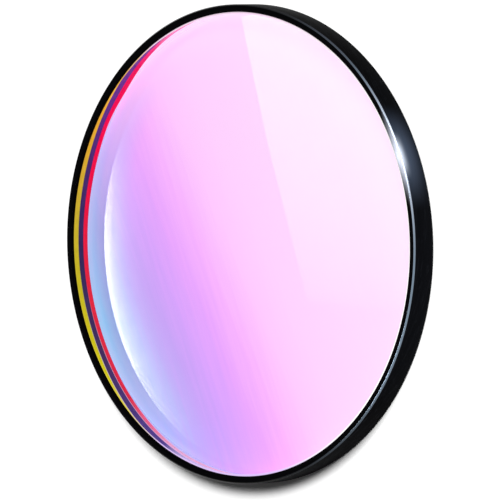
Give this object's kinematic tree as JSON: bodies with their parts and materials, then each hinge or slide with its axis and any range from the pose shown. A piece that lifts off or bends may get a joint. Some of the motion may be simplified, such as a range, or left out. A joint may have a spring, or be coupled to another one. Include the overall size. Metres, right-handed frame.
{
  "type": "optical bandpass filter",
  "caption": "Flat round optical bandpass filter: coloured glasses and a coated dichroic glass cemented in one stack and potted in a thin black lipped ring.",
  "frame": {"origin": "centre of the ring's rear face, on the surface that the filter lies on", "axes": "+Z out of the lipped front face along the optical axis; X and Y lie in the face and are alike, because the filter is round"},
  "size_m": [0.0504, 0.0504, 0.003],
  "materials": {
    "black_anodised": "black anodised, satin",
    "black_potting": "black epoxy",
    "yellow_glass": "polished, antireflection coated front",
    "violet_glass": "polished",
    "red_glass": "polished",
    "optical_cement": "clear cured film",
    "dichroic_coating": "interference coating, pink to violet"
  },
  "bodies": {
    "root": {"edge_ring": "black_anodised", "edge_seal": "black_potting", "yellow_glass": "yellow_glass", "front_cement": "optical_cement", "violet_glass": "violet_glass", "middle_cement": "optical_cement", "red_glass": "red_glass", "rear_cement": "optical_cement", "coated_glass": "dichroic_coating"}
  },
  "joints": []
}
